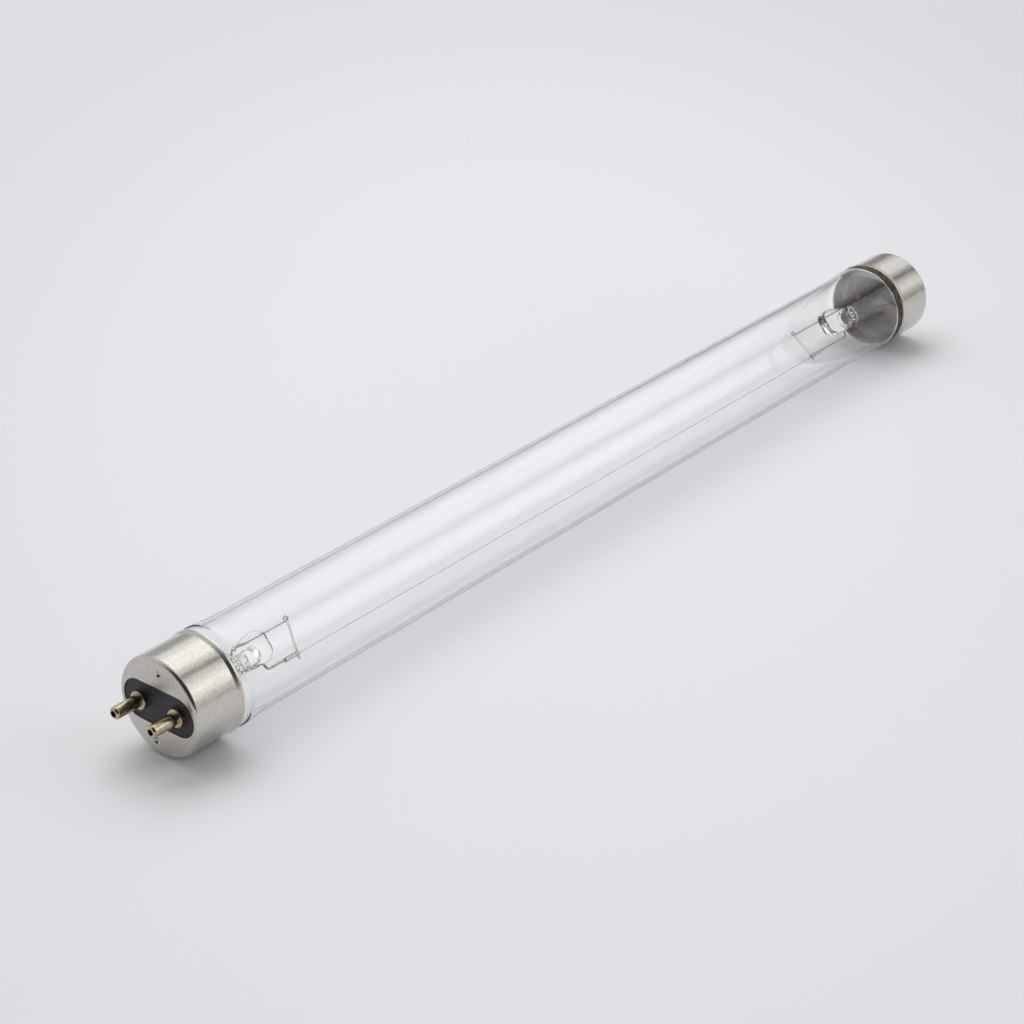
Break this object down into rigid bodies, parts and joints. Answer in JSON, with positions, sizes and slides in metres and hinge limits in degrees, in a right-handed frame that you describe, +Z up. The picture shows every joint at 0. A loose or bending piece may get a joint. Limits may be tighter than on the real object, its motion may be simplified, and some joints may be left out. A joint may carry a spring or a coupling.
{
  "type": "double-ended uvc bulb",
  "caption": "Straight clear-glass germicidal discharge lamp with a two-pin metal cap and a wire electrode at each end.",
  "frame": {"origin": "the middle of the lamp, on the axis of the tube", "axes": "+X along the lamp from the near cap to the far cap, +Y across the pins, +Z up, at right angles to the pins"},
  "size_m": [0.3486, 0.0276, 0.0276],
  "materials": {
    "tube_glass": "clear",
    "stem_glass": "clear",
    "cap_aluminium": "satin, drawn",
    "black_insulator": "matt",
    "pin_brass": "turned, bright",
    "basing_cement": "cured, matt",
    "copper_lead": "bare copper",
    "seal_wire": "copper-clad, oxidised red",
    "nickel_wire": "bare nickel",
    "coated_tungsten": "coated, matt"
  },
  "bodies": {
    "root": {"glass_tube": "tube_glass", "starting_wire": "nickel_wire", "near_cap_shell": "cap_aluminium", "near_basing_cement": "basing_cement", "near_insulator_plate": "black_insulator", "near_left_pin": "pin_brass", "near_right_pin": "pin_brass", "near_glass_stem": "stem_glass", "near_upper_outer_lead": "copper_lead", "near_lower_outer_lead": "copper_lead", "near_upper_seal_wire": "seal_wire", "near_lower_seal_wire": "seal_wire", "near_upper_support_wire": "nickel_wire", "near_lower_support_wire": "nickel_wire", "near_filament": "coated_tungsten", "near_filament_clamp": "nickel_wire", "far_cap_shell": "cap_aluminium", "far_basing_cement": "basing_cement", "far_insulator_plate": "black_insulator", "far_left_pin": "pin_brass", "far_right_pin": "pin_brass", "far_glass_stem": "stem_glass", "far_upper_outer_lead": "copper_lead", "far_lower_outer_lead": "copper_lead", "far_upper_seal_wire": "seal_wire", "far_lower_seal_wire": "seal_wire", "far_upper_support_wire": "nickel_wire", "far_lower_support_wire": "nickel_wire", "far_filament": "coated_tungsten", "far_filament_clamp": "nickel_wire"}
  },
  "joints": []
}
